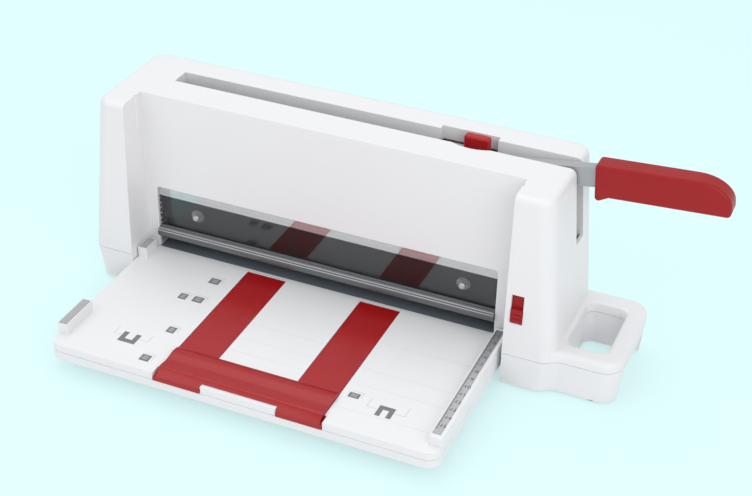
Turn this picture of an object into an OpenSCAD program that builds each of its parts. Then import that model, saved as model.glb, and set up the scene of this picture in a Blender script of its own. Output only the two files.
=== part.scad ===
// Desktop stack cutter: a long lever presses a guillotine blade through a stack of paper
// that lies on a fold-up table with a pull-out gauge.
// Lengths are in millimetres. X runs along the cut, Y from front to rear, Z up from the desk.

/* [Cutting window] */
// Clear width of the cutting window
cut_w = 303; // [290:1:312]
// Height of the table top above the desk
table_z = 25; // [23:1:28]
// Height of the window above the table
window_h = 58.7; // [54:0.1:64]
// Free height for the paper under the lip of the guard
paper_gap = 10.7; // [10:0.1:13]

/* [Housing] */
// Height of the housing above the desk
body_h = 170; // [166:1:180]
// Width of the housing top left of the window
left_margin = 35; // [33:0.5:44]
// Width of the housing top right of the window
right_margin = 46; // [44:0.5:54]
// Rear face of the housing behind the front panel
body_rear = 73; // [70:1:84]
// How far the pillars stand in front of the panel at the top
pillar_depth = 27; // [25:0.5:32]
// Forward lean of the pillar fronts
pillar_lean = 1.65; // [0.5:0.05:3]
// Draft of the housing ends
side_draft = 5.2; // [3:0.1:6.5]
// Height of the seam between the covers and the base
seam_z = 31; // [30:0.5:34]
// Wall thickness of the mouldings
wall = 2.5; // [2:0.1:3]
// Corner radius of the housing seen from above
corner_r = 12; // [9:0.5:15]
// Rounding of the top edge
edge_r = 5; // [3.5:0.5:7]
// Distance of the left wall of the table recess from the window
recess_left_gap = 9.5; // [9:0.1:14]
// Distance of the right wall of the table recess from the window
recess_right_gap = 16.9; // [16:0.1:20]
// How far the foot of the base draws in
base_tuck = 5; // [2:0.5:7]
// Height of the rubber feet
foot_h = 2; // [1.5:0.5:3]

/* [Carry loop] */
// How far the carry loop stands out from the right end of the housing top
loop_reach = 62; // [56:0.5:70]
// Front of the carry loop
loop_front = 24; // [20:0.5:26]
// Distance of the rear of the carry loop in front of the rear face
loop_inset = 2; // [1:0.5:6]
// Top of the carry loop above the desk
loop_top = 40; // [38:0.5:46]
// Corner radius of the carry loop
loop_r = 15; // [12:0.5:18]
// Width of the outer limb of the loop
loop_limb = 14.5; // [13:0.5:18]
// Height of the finger arch under the outer limb
arch_h = 20; // [16:1:24]

/* [Top channel] */
// Distance of the left end of the lever channel inside the window edge
channel_inset = 6.1; // [3:0.1:7]
// Front edge of the channel
channel_front = 29.2; // [28.6:0.1:30.4]
// Rear edge of the channel
channel_rear = 46.6; // [46:0.1:48]
// Depth of the rear lining of the channel
skirt_h = 17; // [14:0.5:20]
// Depth of the lever slot in the right wall
side_slot_h = 66; // [65:0.5:72]
// Distance of the right end of the lock pocket inside the window edge
pocket_inset = 22; // [16:0.5:26]
// Length of the lock pocket
pocket_l = 47.5; // [46:0.5:52]
// Rear wall of the lock pocket
pocket_rear = 52; // [51.5:0.1:55]

/* [Lever] */
// Distance of the lever pivot inside the window edge
pivot_inset = 21.5; // [20:0.1:24]
// Depth of the lever pivot below the top of the housing
pivot_drop = 56.3; // [54:0.1:60]
// Rise of the lever arm above level
lever_tilt = 8.6; // [8:0.1:9.2]
// Rise of the grip above level
grip_tilt = 3.7; // [2:0.1:6]
// Thickness of the lever arm
arm_t = 8.4; // [7.6:0.1:8.8]
// Height of the lever arm
arm_h = 16; // [13:0.5:17]
// Gap between the right end of the housing top and the grip
grip_gap = 14.6; // [11:0.1:20]
// Length of the grip
grip_len = 103; // [95:1:120]
// Width of the grip
grip_w = 17; // [15.5:0.5:20]
// Radius of the pivot pin
pivot_r = 6; // [5:0.25:7]
// Reach of the drive pin from the pivot, along the cut
drive_x = 60; // [57:0.5:62]
// Drop of the drive pin below the pivot
drive_drop = 31.9; // [30:0.5:36]

/* [Blade and clamp] */
// Height of the blade edge above the table at rest
blade_gap = 9.8; // [9.7:0.1:10.4]
// Height of the clamp bar above the table at rest
clamp_gap = 7.9; // [7.4:0.1:8.2]
// Thickness of the blade
blade_t = 2.5; // [1.8:0.1:3]
// Height of the blade
blade_h = 38; // [34:0.5:42]
// Radius of the guide posts
post_r = 4; // [3:0.25:4.5]
// Distance of the guide posts outside the window
post_gap = 19.5; // [18:0.1:22]
// Distance of the blade screws inside the window edges
blade_screw_inset = 31.5; // [20:0.5:60]
// Height of the blade screws above the table at rest
blade_screw_z = 30.7; // [28:0.1:34]

/* [Paper table] */
// Depth of the table from the panel to its front edge
tray_d = 158; // [150:1:162]
// Thickness of the table
tray_t = 14; // [13:0.5:16]
// Gap between the table and the left wall of its recess
tray_left_gap = 0.8; // [0.7:0.1:1.5]
// Gap between the table and the right wall of its recess
tray_right_gap = 3.4; // [2:0.1:4]
// Distance of the table hinge in front of the panel
hinge_y = 12; // [11:0.5:13]
// Radius of the hinge pins
hinge_r = 3; // [2:0.25:3.5]
// Height of the side fences above the table
fence_h = 9.5; // [7:0.5:9.5]
// Width of the ruler strip
ruler_w = 6.8; // [5:0.1:7.4]

/* [Pull-out gauge] */
// Left edge of the left gauge strip
strip_left = -64.6; // [-75:0.1:-60]
// Width of a gauge strip
strip_w = 34.8; // [28:0.1:38]
// Distance between the left edges of the gauge strips
strip_pitch = 102.7; // [92:0.1:108]
// Thickness of the gauge strips
strip_t = 2.3; // [1.8:0.1:2.6]
// Rear end of the strips in front of the panel
strip_rear = 5; // [4:0.5:9]
// Depth of the raised gauge bar
bar_d = 36; // [30:0.5:42]
// Height of the gauge bar above the table
bar_h = 3.1; // [2.8:0.1:3.6]

/* [Controls] */
// Distance of the lock knob from the left end of its pocket at rest
knob_inset = 21; // [19:0.5:24]
// Length of the lock knob
knob_l = 21; // [18:0.5:22]
// Height of the lock knob above the housing
knob_rise = 2; // [1:0.5:4]
// Distance of the slide button from the recess wall
button_inset = 9.2; // [9.2:0.1:12]
// Width of the slide button
button_w = 10; // [8:0.5:10]
// Height of the slot of the slide button
button_slot_h = 25.5; // [24:0.5:28]
// Foot of the button slot above the table
button_low = 36; // [32:0.5:44]
// Height of the ribbed part of the slide button
button_h = 12.5; // [11:0.5:12.5]

/* [Clearances] */
// Gap between a pin and its hole
fit_gap = 0.05; // [0.02:0.01:0.09]
// Gap between pieces that slide past each other
slide_gap = 0.4; // [0.3:0.05:0.6]
// Gap between fixed pieces that stand side by side
part_gap = 0.2; // [0.1:0.05:0.3]
// Open seam between two halves of a moulding
seam_gap = 0.4; // [0.2:0.1:0.6]

/* [Hidden] */

$fn = 48;
far = 500;
eps = 0.01;
hull_fn = 32;

// Places along the cut, from its middle
left_end = cut_w / 2 + left_margin;
right_end = cut_w / 2 + right_margin;
recess_left = cut_w / 2 + recess_left_gap;
recess_right = cut_w / 2 + recess_right_gap;
tray_left = recess_left - tray_left_gap;
tray_right = recess_right - tray_right_gap;
loop_x = right_end + loop_reach;
loop_rear = body_rear - loop_inset;
channel_left = channel_inset - cut_w / 2;
pocket_right = cut_w / 2 - pocket_inset;
pocket_left = pocket_right - pocket_l;
knob_x = pocket_left + knob_inset;
pivot_x = pivot_inset - cut_w / 2;
grip_start = (right_end + grip_gap - pivot_x) / cos(lever_tilt);
post_x = cut_w / 2 + post_gap;
blade_screw_x = cut_w / 2 - blade_screw_inset;

// Housing outline, at any height
function left_at(z) = -(left_end + (body_h - z) * tan(side_draft));
function right_at(z) = right_end + (body_h - z) * tan(side_draft);
function front_at(z) = -(pillar_depth + (body_h - z) * tan(pillar_lean));

// Frame: the part stands over the middle of its own footprint
grip_top = 13;
grip_low = -14.2;
grip_r = 3;
grip_rake = 1;
nose_l = 23;
nose_v = -6;
nose_h = grip_top - nose_v;
hook_drop = 3.6;
hook_l = 11;
lip_t = 1.2;
lip_front = -tray_d - lip_t;
lever_reach = pivot_x + grip_start * cos(lever_tilt)
            + (grip_len - nose_l) * cos(grip_tilt) - nose_v * sin(grip_tilt)
            + norm([nose_l * cos(grip_tilt), nose_h * sin(grip_tilt)]);
mid_x = (left_at(seam_z) + lever_reach) / 2;
mid_y = (lip_front + body_rear) / 2;

// Mechanism layers behind the panel
guard_y = wall + part_gap;
guard_t = 2.4;
clamp_y = guard_y + guard_t + 0.8;
clamp_d = 6;
keeper_t = 3;
blade_y = clamp_y + clamp_d + 1.2 + keeper_t;
carrier_y = blade_y + blade_t;
carrier_d = channel_front - wall - slide_gap - carrier_y;
post_y = carrier_y + carrier_d / 2;
bracket_t = 2.8;
arm_y = channel_front + 2.2;
arm_side_gap = 1;
bracket_y = arm_y - arm_side_gap - bracket_t;
bracket_rear = arm_y + arm_t + arm_side_gap;
lever_mid_y = arm_y + arm_t / 2;

// Lever geometry
pivot_z = body_h - pivot_drop;
drive_z = pivot_z - drive_drop;
roller_r = 6;
yoke_gap = 1.1;
yoke_offset = 0.4;
yoke_left = 6;
yoke_right = 8.5;
yoke_wall = 6;
yoke_half = roller_r + yoke_gap;
yoke_z = drive_z + yoke_offset;
head_r = 14;
bush_t = 2;
drive_pin_r = 3;
tang_len = grip_len - 33;
tang_h = 12;
peg_l = 11;
peg_x = pocket_left - 3;
knob_drop = 13.7;
peg_low = body_h - 29;
peg_high = body_h - knob_drop - 0.5;

bush_wall = 2;
post_boss_r = post_r + 2 * fit_gap + bush_wall + 2.1;
paper_clear = 2.5;
bracket_l = 30.5;
bracket_x = [-cut_w / 2 - paper_clear - bracket_l, -cut_w / 2 - paper_clear];
ring_t = 0.7;
bracket_leg = post_x - post_boss_r - 2 * slide_gap - cut_w / 2 - paper_clear;
bracket_holes = [for (x = [bracket_x[0] + 6, bracket_x[1] - 6]) [x, lever_mid_y]];
lobe_u = drive_x * cos(lever_tilt) - drive_drop * sin(lever_tilt);
lobe_v = -drive_x * sin(lever_tilt) - drive_drop * cos(lever_tilt);

// Guard and bed
lip_r = 4.6;
window_r = 3;
flange_t = 2;
flange_h = 7;
flange_rise = 8;
flange_inset = 2.5;
guard_screw_x = [-blade_screw_x, 0, blade_screw_x];
guard_screw_z = table_z + window_h + 2.5;
flange_y = guard_y + guard_t + part_gap;
bed_plate_t = 1;
bed_rear = body_rear - 4;
bed_front = 0.3;
hinge_block = 16;
bed_strip_w = 8;
bed_strip_t = 4;
strip_y = blade_y + blade_t / 2 - bed_strip_w / 2;
plate_t = 1.5;
plate_ledge = 12;
plate_x = [-(left_end - 4), right_end - 6];
plate_y = [5, body_rear - 6];
plate_screw_spots = [for (x = [plate_x[0] + plate_ledge / 2, plate_x[1] - plate_ledge / 2],
                          y = [plate_y[0] + 10, plate_y[1] - 10]) [x, y]];
foot_r = 5;
screw_r = 1.5;
plate_screw_l = 12;
guard_screw_r = 1.2;
blade_screw_r = 2;
tray_screw_r = 1.4;
tray_head_r = 2.8;
tray_foot_r = 5;
loop_front_limb = 15.5;
loop_rear_limb = 17.5;
rim_r = 4;
loop_edge = 4;
blend_r = 15;
foot_spots = [[left_at(seam_z) + 16, front_at(seam_z) + 14], [left_at(seam_z) + 11, body_rear - 12],
              [loop_x - 20, -loop_front + 9], [loop_x - 13, loop_rear - 8.7]];

// Blade carriage
carrier_low = table_z + 22;
carrier_high = drive_z + 3.2;
keeper_low = table_z + 14;
keeper_high = table_z + 52;
blade_len = cut_w + 1;
blade_bevel = 9;
blade_screw_l = 6;
washer_t = 0.8;
hex_r = 5.2;
hex_t = 2.6;
stub_r = 3;
stub_bevel = 0.8;
lug_t = 8;
lug_low = carrier_high - lug_t - 2;
clamp_x = cut_w / 2 + 3.5;
clamp_h = 6;
clamp_pin_r = 2;
clamp_pin_top = lug_low + lug_t + 14;
post_top = body_h - 23;

// Table
tray_low = table_z - tray_t;
tray_split = table_z - 6.5;
tray_plate = 5;
tray_rear = -0.6;
tray_corner = 10;
fence_inner = -cut_w / 2;
rail_inner = cut_w / 2 + 3;
rail_h = fence_h - 1.5;
rail_front = -tray_d + 10;
rail_rear = -4;
inlay_t = 0.6;
inlay_depth = 0.4;
cap_rim = 0.8;
tongue_left = strip_left + strip_w + 3.8;
tongue_right = strip_left + strip_pitch - 1.1;
bar_rear = tray_d - bar_d;
bar_ramp = 9;
bar_crest = 7;
bar_dip = 1.4;
bar_rim = 1;
lip_side = 2;
lip_depth = 9;
lip_top = table_z - 3;
dovetail = 1.2;
bar_x = [strip_left, strip_left + strip_pitch + strip_w];
lip_x = [bar_x[0] - lip_side, bar_x[1] + lip_side];
fence_spans = [[-hinge_y - 11, -hinge_y + 6.5], [-tray_d + 14, -tray_d + 51]];
cap_boxes = [for (y = fence_spans)
  [[-tray_left + cap_rim, fence_inner - cap_rim], [y[0] + cap_rim, y[1] - cap_rim]]];
ruler_box = [[rail_inner + 1, rail_inner + 1 + ruler_w], [rail_front + 4, rail_rear - 2]];
tray_screw_spots = [for (x = [-tray_left + 12, tray_right - 12], y = [-tray_d + 8, -22]) [x, y]];
tray_foot_spots = [for (x = [-tray_left + 32, tray_right - 32]) [x, -tray_d + 30]];

// Bumps on the sides of the table that hold it when it is folded up
bump_y = 28 - tray_d;
bump_rise = 3.5;
bump_r = 2.6;
left_bump = recess_left - tray_left - slide_gap;
right_bump = 1.2;
fold_z = table_z - bump_y - hinge_y;
groove_h = 7;
groove_r = 2.8;
groove_d = 1.2;

// Controls
knob_y = arm_y + arm_t + 0.6;
knob_d = 7.6;
knob_z = body_h - knob_drop;
shelf_z = knob_z - slide_gap;
lock_base_t = 2.7;
lock_travel = 18;
scoop_d = 3.6;
slot_lining = 34;
scoop_r = 36;
button_plate_t = 2;
button_x = recess_right + button_inset;
button_plate_w = button_w + 2.2;
button_rib = 1.6;
button_travel = button_slot_h - button_h - 2 * slide_gap;
tongue_t = 1.6;
tongue_z = knob_z + lock_base_t + slide_gap;
tongue_out = 9;
tongue_in = 10;
tongue_y = [knob_y + part_gap, knob_y + 4.6];

// Plain solids between two corners given as [low, high] along each axis
module box(x, y, z) {
  translate([x[0], y[0], z[0]]) cube([x[1] - x[0], y[1] - y[0], z[1] - z[0]]);
}

module round_rect(x, y, r) {
  translate([x[0] + r, y[0]]) square([x[1] - x[0] - 2 * r, y[1] - y[0]]);
  translate([x[0], y[0] + r]) square([x[1] - x[0], y[1] - y[0] - 2 * r]);
  for (cx = [x[0] + r, x[1] - r], cy = [y[0] + r, y[1] - r]) translate([cx, cy]) circle(r);
}

module slab(x, y, z, r) {
  translate([0, 0, z[0]]) linear_extrude(z[1] - z[0]) round_rect(x, y, r);
}

module rod_x(x, y, z, r) {
  translate([x[0], y, z]) rotate([0, 90, 0]) cylinder(h = x[1] - x[0], r = r);
}

module rod_y(x, y, z, r) {
  translate([x, y[1], z]) rotate([90, 0, 0]) cylinder(h = y[1] - y[0], r = r);
}

module rod_z(x, y, z, r) {
  translate([x, y, z[0]]) cylinder(h = z[1] - z[0], r = r);
}

// A profile drawn in Y and Z, run along X
module along_x(x) {
  translate([x[0], 0, 0]) rotate([90, 0, 90]) linear_extrude(x[1] - x[0]) children();
}

// A profile drawn in X and Z, run along Y
module along_y(y) {
  translate([0, y[1], 0]) rotate([90, 0, 0]) linear_extrude(y[1] - y[0]) children();
}

module place() {
  translate([-mid_x, -mid_y, 0]) children();
}

// Flat frame of the lever: u along the arm from the pivot, v upward
module on_lever() {
  translate([pivot_x, pivot_z]) rotate(lever_tilt) children();
}

// Flat frame of the grip: u along the grip from its inner end, v upward
module on_grip() {
  on_lever() translate([grip_start, 0]) rotate(grip_tilt - lever_tilt) children();
}

// Front face of the right pillar: local Z climbs the leaning face, local Y points inward
module on_pillar(z) {
  translate([button_x, front_at(z), z]) rotate([-pillar_lean, 0, 0]) children();
}

// Housing forms
module body_slice(z, inset) {
  r = corner_r - min(inset, corner_r - 2);
  x = [left_at(z) + inset, right_at(z) - inset];
  y = [front_at(z) + inset, body_rear - inset];
  slab(x, y, [z - eps, z], r, $fn = hull_fn);
}

module body_form(inset, low, top) {
  r = max(edge_r - inset, 1.5);
  hull() {
    body_slice(low + eps, inset);
    for (a = [0:30:90]) body_slice(top - r + r * sin(a), inset + r * (1 - cos(a)));
  }
}

module base_form() {
  hull() {
    body_slice(seam_z, 0);
    slab([left_at(seam_z) + base_tuck, right_at(seam_z) - base_tuck],
         [front_at(seam_z) + base_tuck / 2, body_rear - base_tuck / 2],
         [foot_h, foot_h + eps], corner_r - base_tuck / 2, $fn = hull_fn);
  }
}

// Space inside the housing: behind the panel and inside the two pillars
module inner_zones(low, high) {
  box([-far, far], [wall, far], [low, high]);
  box([-far, -recess_left - wall], [-far, far], [low, high]);
  box([recess_right + wall, far], [-far, far], [low, high]);
}

module recess(low, high) {
  box([-recess_left, recess_right], [-far, 0], [low, high]);
}

module loop_slice(z, inset) {
  x = [right_end - loop_r, loop_x - inset];
  slab(x, [-loop_front + inset, loop_rear - inset], [z - eps, z], loop_r - inset, $fn = hull_fn);
}

// Middle of the plan fillet between a pillar corner and the front of the carry loop
function blend_spot(corner, r, front) = corner
  + [sqrt(pow(r + blend_r, 2) - pow(front - blend_r - corner[1], 2)), front - blend_r - corner[1]];

module blend_slice(z, corner, spot, front) {
  translate([0, 0, z]) linear_extrude(eps) polygon([corner, spot, [spot[0], front + 2]]);
}

// Upper half of the fillet, with the rounded top edge of the loop carried round it
module cover_blend() {
  corner = [right_at(seam_z) - corner_r, front_at(seam_z) + corner_r];
  spot = blend_spot(corner, corner_r, -loop_front);
  low = seam_z + seam_gap;
  difference() {
    translate([0, 0, low]) linear_extrude(loop_top - low) {
      polygon([corner, spot, [spot[0], 2 - loop_front]]);
    }
    translate([spot[0], spot[1], 0]) rotate_extrude() {
      polygon(concat([[0, 0], [blend_r, 0]],
                     [for (a = [0:30:90]) [blend_r + loop_edge * (1 - cos(a)),
                                           loop_top - loop_edge + loop_edge * sin(a)]],
                     [[blend_r + loop_edge, loop_top + 1], [0, loop_top + 1]]));
    }
  }
}

// Lower half of the fillet, drawn in towards the foot as the base is
module base_blend() {
  tuck = base_tuck / 2;
  corner = [right_at(seam_z) - corner_r, front_at(seam_z) + corner_r];
  foot = [corner[0] - tuck, corner[1]];
  spot = blend_spot(corner, corner_r, -loop_front);
  foot_spot = blend_spot(foot, corner_r - tuck, tuck - loop_front);
  difference() {
    hull() {
      blend_slice(seam_z - eps, corner, spot, -loop_front);
      blend_slice(foot_h, foot, foot_spot, tuck - loop_front);
    }
    hull() {
      rod_z(spot[0], spot[1], [seam_z, seam_z + 1], blend_r, $fn = 2 * hull_fn);
      rod_z(foot_spot[0], foot_spot[1], [foot_h - 1, foot_h], blend_r, $fn = 2 * hull_fn);
    }
  }
}

module carry_hole(low, high, grow = 0) {
  slab([right_at(seam_z) + wall - grow / 2, loop_x - loop_limb + grow],
       [loop_front_limb - loop_front - grow, loop_rear - loop_rear_limb + grow], [low, high], 8);
}

module rim_slice(depth, grow) {
  carry_hole(loop_top - depth, loop_top - depth + eps, grow, $fn = hull_fn);
}

// Rounded rim of the carry hole, in two slopes
module hole_rim() {
  for (slope = [[1, 0.3], [0.3, 0]]) hull() {
    rim_slice(rim_r * slope[0], slope[0] == 1 ? 0 : rim_r * slope[0]);
    rim_slice(rim_r * slope[1], slope[1] == 0 ? rim_r : rim_r * slope[1]);
  }
}

// Shell of the housing with the lever channel, the recess, the window and the carry loop
module top_cover() color("whitesmoke") difference() {
  union() {
    difference() {
      body_form(0, seam_z + seam_gap, body_h);
      recess(0, far);
      intersection() {
        body_form(wall, seam_z - 1, body_h - wall);
        inner_zones(0, far);
      }
      box([corner_r - left_end, right_end - corner_r],
          [body_rear - wall - 1, far], [0, body_h - edge_r - wall]);
    }
    channel_lining();
    pocket_block();
    window_flange();
    for (x = [-post_x, post_x]) {
      rod_z(x, post_y, [post_top - 10, body_h - wall + eps], post_r + fit_gap + 2);
    }
    button_guide();
    loop_cover();
  }
  box([channel_left, far], [channel_front, channel_rear], [body_h - side_slot_h, far]);
  box([pocket_left, pocket_right], [channel_rear - 1, pocket_rear], [shelf_z, far]);
  box([pocket_left - lock_travel - slide_gap, pocket_right], [channel_rear - 1, pocket_rear],
      [shelf_z, knob_z + lock_base_t + slide_gap]);
  finger_scoop();
  along_y([-1, wall + 1]) {
    round_rect([-cut_w / 2, cut_w / 2], [-far, table_z + window_h], window_r);
  }
  for (x = [-post_x, post_x]) rod_z(x, post_y, [0, post_top + slide_gap], post_r + fit_gap);
  for (x = guard_screw_x) {
    rod_y(x, [0.8, wall + 1], guard_screw_z, guard_screw_r + fit_gap);
    rod_y(x, [wall + 1, flange_y + flange_t + 1], guard_screw_z, guard_screw_r + 1.6);
  }
  fold_groove(groove_r - groove_d - recess_left);
  fold_groove(recess_right - groove_r + groove_d);
  button_slot();
  carry_hole(seam_z - 1, far);
  hole_rim();
}

// Pale flange that backs the top of the guard
module window_flange() {
  x = [flange_inset - cut_w / 2, cut_w / 2 - flange_inset];
  top = table_z + window_h + flange_rise;
  box(x, [flange_y, flange_y + flange_t], [table_z + window_h - flange_h, top]);
  box(x, [wall - 0.5, flange_y + flange_t], [top - flange_t, top]);
}

// Shallow bay in the front rim that gives a finger room at the lock knob
module finger_scoop() intersection() {
  rod_z(knob_x + knob_l / 2, channel_front - scoop_d + scoop_r, [body_h - wall - 1, far], scoop_r, $fn = 96);
  box([-far, far], [0, channel_front + 1], [0, far]);
}

// Linings that hang from the top wall along the lever channel
module channel_lining() {
  box([channel_left - wall, right_end - 1], [channel_rear, channel_rear + wall],
      [body_h - skirt_h, body_h - wall + eps]);
  box([channel_left - wall, channel_left], [channel_front - wall, channel_rear + wall],
      [body_h - skirt_h, body_h - wall + eps]);
  intersection() {
    box([right_end - slot_lining, far], [channel_rear, channel_rear + wall],
        [body_h - side_slot_h - wall, body_h - wall + eps]);
    body_form(wall / 2, seam_z, body_h - wall / 2);
  }
}

module pocket_block() {
  box([pocket_left - lock_travel - slide_gap - wall, pocket_right + wall],
      [channel_rear, pocket_rear + wall], [shelf_z - wall, body_h - wall + eps]);
}

// Vertical grooves that catch the bumps of the folded table
module fold_groove(x) {
  rod_z(x, -hinge_y + bump_rise, [fold_z - groove_h / 2, far], groove_r);
}

module button_slot() {
  on_pillar(table_z + button_low) {
    box([-button_w / 2, button_w / 2], [-far / 10, wall + 1], [0, button_slot_h]);
  }
}

// Rib that guides the slide button on its outer side; the recess wall guides the other side
module button_guide() {
  rail_x = button_plate_w / 2 + slide_gap;
  on_pillar(table_z + button_low) {
    box([rail_x, rail_x + button_rib], [wall - 0.5, wall + 2 * slide_gap + button_plate_t],
        [-button_travel - 4, button_slot_h + button_travel + 4]);
  }
}

module loop_cover() {
  difference() {
    union() {
      hull() {
        loop_slice(seam_z + seam_gap + eps, 0);
        for (a = [0:30:90]) {
          loop_slice(loop_top - loop_edge + loop_edge * sin(a), loop_edge * (1 - cos(a)));
        }
      }
      cover_blend();
    }
    body_form(0.5 * wall, seam_z - 1, body_h - wall);
    carry_hole(seam_z - 1, far);
  }
}

// Lower housing: bed of the cutting table, feet of the pillars and of the carry loop
module base() color("whitesmoke") difference() {
  union() {
    base_form();
    hull() {
      loop_slice(seam_z, 0);
      loop_slice(foot_h + eps, base_tuck / 2);
    }
    base_blend();
  }
  box([-recess_left, recess_right], [-far, bed_front], [0, far]);
  difference() {
    intersection() {
      box([left_at(seam_z) + wall + 3, right_at(seam_z) - wall - 3],
          [front_at(seam_z) + wall + 3, body_rear - wall - 2], [table_z, far]);
      inner_zones(0, far);
    }
    for (x = [-recess_left - hinge_block, recess_right]) {
      box([x, x + hinge_block], [-hinge_y - 8, -hinge_y + 8], [0, far]);
    }
  }
  box([-cut_w / 2, cut_w / 2], [0, far], [table_z, far]);
  box([-cut_w / 2, cut_w / 2], [0, bed_rear], [table_z - bed_plate_t, far]);
  box([-cut_w / 2 - 2, cut_w / 2 + 2], [strip_y, strip_y + bed_strip_w], [table_z - bed_strip_t, far]);
  for (i = [0:3]) under_pocket(i);
  box([plate_x[0] - part_gap, plate_x[1] + part_gap], [plate_y[0] - part_gap, plate_y[1] + part_gap],
      [0, foot_h + plate_t]);
  for (x = [-post_x, post_x]) rod_z(x, post_y, [table_z - 4, far], post_r + fit_gap);
  for (p = bracket_holes) rod_z(p[0], p[1], [table_z - 5, far], screw_r + fit_gap);
  for (p = plate_screw_spots) rod_z(p[0], p[1], [0, foot_h + plate_screw_l], screw_r + fit_gap);
  hinge_bores();
  carry_hole(0, far);
  box([loop_x - loop_limb - 1, far], [loop_front_limb - loop_front + 2.5, loop_rear - loop_rear_limb + 2.5],
      [0, foot_h + arch_h]);
  for (p = foot_spots) rod_z(p[0], p[1], [0, foot_h + 1], foot_r + fit_gap);
}

// Hollows under the bed, with ribs left between them
module under_pocket(i) {
  rib = 5;
  run = (plate_x[1] - plate_x[0] - 2 * plate_ledge - 3 * rib) / 4;
  x = plate_x[0] + plate_ledge + i * (run + rib);
  slab([x, x + run], [plate_y[0] + 4, plate_y[1] - 4], [0, table_z - 6], 4);
}

module hinge_bores() {
  rod_x([-recess_left - hinge_block + 3, -recess_left + 1], -hinge_y, table_z, hinge_r + fit_gap);
  rod_x([recess_right - 1, recess_right + hinge_block - 3], -hinge_y, table_z, hinge_r + fit_gap);
}

module bottom_plate() color("darkgray") difference() {
  slab(plate_x, plate_y, [foot_h, foot_h + plate_t], 5);
  for (p = plate_screw_spots) rod_z(p[0], p[1], [0, far], screw_r + fit_gap);
}

module plate_screws() color("silver") for (p = plate_screw_spots) {
  rod_z(p[0], p[1], [foot_h - eps, foot_h + plate_screw_l - 0.5], screw_r);
  rod_z(p[0], p[1], [foot_h - 1.3, foot_h], 2 * screw_r);
}

module rubber_feet() color("dimgray") for (p = foot_spots) {
  rod_z(p[0], p[1], [0, foot_h + 1], foot_r);
}

// Closing panel at the back, open at the foot where the cut paper leaves
module rear_panel() color("whitesmoke") difference() {
  union() {
    box([corner_r - left_end + part_gap, right_end - corner_r - part_gap],
        [body_rear - wall - 1, body_rear],
        [seam_z + seam_gap, body_h - edge_r - wall - part_gap]);
    for (x = [-120:60:120]) {
      box([x, x + wall], [body_rear - wall - 5, body_rear - wall], [table_z + 20, table_z + 90]);
    }
  }
  box([-cut_w / 2, cut_w / 2], [0, far], [0, table_z + 14]);
}

// Smoked guard: a plate behind the window with a thick rolled lip at its foot
module guard() color([0.25, 0.25, 0.27, 0.6]) difference() {
  union() {
    box([-cut_w / 2 - 4.5, cut_w / 2 + 4.5], [guard_y, guard_y + guard_t],
        [table_z + paper_gap + lip_r, table_z + window_h + 5]);
    rod_x([-cut_w / 2 + 0.6, cut_w / 2 - 0.6], guard_y + guard_t - lip_r,
          table_z + paper_gap + lip_r, lip_r);
  }
  for (x = guard_screw_x) rod_y(x, [0, far], guard_screw_z, guard_screw_r + fit_gap);
}

module guard_screws() color("silver") for (x = guard_screw_x) {
  rod_y(x, [1, guard_y + guard_t + eps], guard_screw_z, guard_screw_r);
  rod_y(x, [guard_y + guard_t, guard_y + guard_t + 0.7], guard_screw_z, guard_screw_r + 1);
}

module cutting_strip() color("ivory") {
  box([-cut_w / 2 - 2 + part_gap, cut_w / 2 + 2 - part_gap],
      [strip_y + part_gap, strip_y + bed_strip_w - part_gap],
      [table_z - bed_strip_t, table_z - 0.1]);
}

// Dark steel sheets that face the bed on both sides of the cutting strip
module bed_plates() color("dimgray") {
  for (y = [[bed_front, strip_y - part_gap], [strip_y + bed_strip_w + part_gap, bed_rear - part_gap]]) {
    box([part_gap - cut_w / 2, cut_w / 2 - part_gap], y, [table_z - bed_plate_t, table_z]);
  }
}

// Steel bracket beside the paper path: two cheeks reach over it to carry the lever pivot
module pivot_bracket() color("silver") difference() {
  union() {
    box(bracket_x, [bracket_y, bracket_rear + bracket_t], [table_z, table_z + bracket_t]);
    for (y = [bracket_y, bracket_rear]) along_y([y, y + bracket_t]) bracket_cheek();
  }
  rod_y(pivot_x, [0, far], pivot_z, pivot_r + fit_gap);
  for (p = bracket_holes) rod_z(p[0], p[1], [0, far], screw_r + fit_gap);
}

module bracket_cheek() {
  top_r = pivot_r + 6;
  polygon([[bracket_x[1] - bracket_leg, table_z], [bracket_x[1], table_z], [bracket_x[1], table_z + 34],
           [pivot_x + top_r - 2, pivot_z - 8], [pivot_x, pivot_z + 2], [pivot_x - top_r, pivot_z],
           [bracket_x[1] - bracket_leg, pivot_z - 18]]);
  translate([pivot_x, pivot_z]) circle(top_r);
}

module bracket_screws() color("silver") for (p = bracket_holes) {
  rod_z(p[0], p[1], [table_z - 4.5, table_z + bracket_t + eps], screw_r);
  rod_z(p[0], p[1], [table_z + bracket_t, table_z + bracket_t + 2.4], 2 * screw_r);
}

module pivot_pin() color("silver") {
  rod_y(pivot_x, [bracket_y - ring_t - 0.2, bracket_rear + bracket_t + 1.5], pivot_z, pivot_r);
  rod_y(pivot_x, [bracket_rear + bracket_t, bracket_rear + bracket_t + 1.8], pivot_z, pivot_r + 2.5);
}

module pivot_ring() color("silver") difference() {
  rod_y(pivot_x, [bracket_y - ring_t, bracket_y], pivot_z, pivot_r + 2.5);
  rod_y(pivot_x, [0, far], pivot_z, pivot_r);
}

module guide_posts() color("silver") for (x = [-post_x, post_x]) {
  rod_z(x, post_y, [table_z - 4, post_top], post_r);
}

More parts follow.
